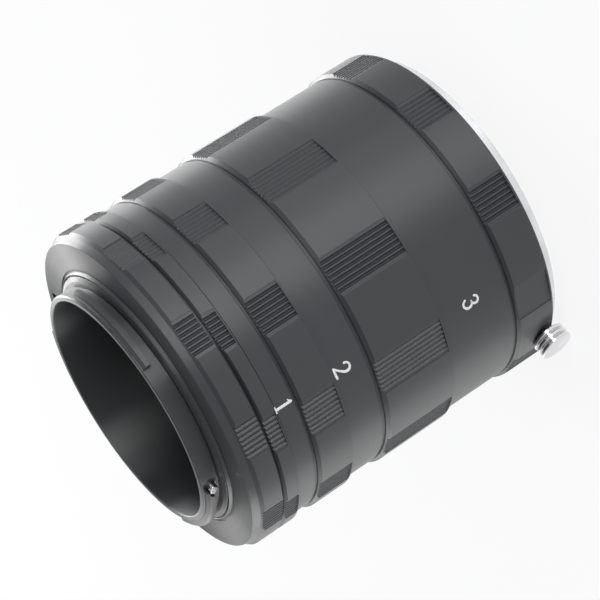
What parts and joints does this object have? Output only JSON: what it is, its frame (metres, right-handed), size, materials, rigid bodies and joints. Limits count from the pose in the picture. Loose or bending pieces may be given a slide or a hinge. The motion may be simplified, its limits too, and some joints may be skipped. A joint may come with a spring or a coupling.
{
  "type": "macro extension tube set",
  "caption": "Stack of threaded tubes between a camera bayonet and a lens bayonet, which holds a lens further from a camera for close-up pictures.",
  "frame": {"origin": "centre of the lens flange plate's outer face, on which the stack stands", "axes": "+Z along the optical axis from the lens end to the camera end; -Y towards the picture's side"},
  "size_m": [0.0623, 0.0608, 0.0693],
  "materials": {
    "black_anodised": "satin black anodised aluminium",
    "bayonet_black": "semi-gloss black anodised aluminium, bright at the rim",
    "flange_plate": "bright turned",
    "knob_chrome": "polished",
    "brass_block": "machined",
    "pin_steel": "ground",
    "spring_steel": "rolled",
    "plate_screw": "nickel plated",
    "small_screw": "blackened"
  },
  "bodies": {
    "lens_module": {"lens_mount_ring": "black_anodised", "lens_flange_plate": "flange_plate", "lock_spring": "spring_steel", "plate_screw_1": "plate_screw", "plate_screw_2": "plate_screw", "plate_screw_3": "plate_screw", "plate_screw_4": "plate_screw", "plate_screw_5": "plate_screw", "leaf_spring_1": "spring_steel", "leaf_spring_2": "spring_steel", "leaf_spring_3": "spring_steel", "leaf_spring_screw_1": "small_screw", "leaf_spring_screw_2": "small_screw", "leaf_spring_screw_3": "small_screw"},
    "tube_3": {"tube_3": "black_anodised"},
    "tube_2": {"tube_2": "black_anodised"},
    "tube_1": {"tube_1": "black_anodised"},
    "camera_module": {"camera_mount_ring": "black_anodised", "camera_bayonet": "bayonet_black", "bayonet_stop_screw": "knob_chrome", "bayonet_screw_1": "small_screw", "bayonet_screw_2": "small_screw", "bayonet_screw_3": "small_screw", "bayonet_screw_4": "small_screw"},
    "lens_lock": {"release_knob": "knob_chrome", "lock_block": "brass_block", "lock_pin": "pin_steel"}
  },
  "joints": [
    {"name": "tube_3_lift", "type": "slide", "parent": "lens_module", "child": "tube_3", "axis": [0, 0, 1], "range_m": [0, 0.009]},
    {"name": "tube_2_lift", "type": "slide", "parent": "tube_3", "child": "tube_2", "axis": [0, 0, 1], "range_m": [0, 0.009]},
    {"name": "tube_1_lift", "type": "slide", "parent": "tube_2", "child": "tube_1", "axis": [0, 0, 1], "range_m": [0, 0.009]},
    {"name": "camera_module_lift", "type": "slide", "parent": "tube_1", "child": "camera_module", "axis": [0, 0, 1], "range_m": [0, 0.009]},
    {"name": "lock_slide", "type": "slide", "parent": "lens_module", "child": "lens_lock", "axis": [0, 0, 1], "range_m": [0, 0.0014], "stiffness_N_per_m": 300, "springref_m": -0.001, "deforming": ["lock_spring"]}
  ]
}
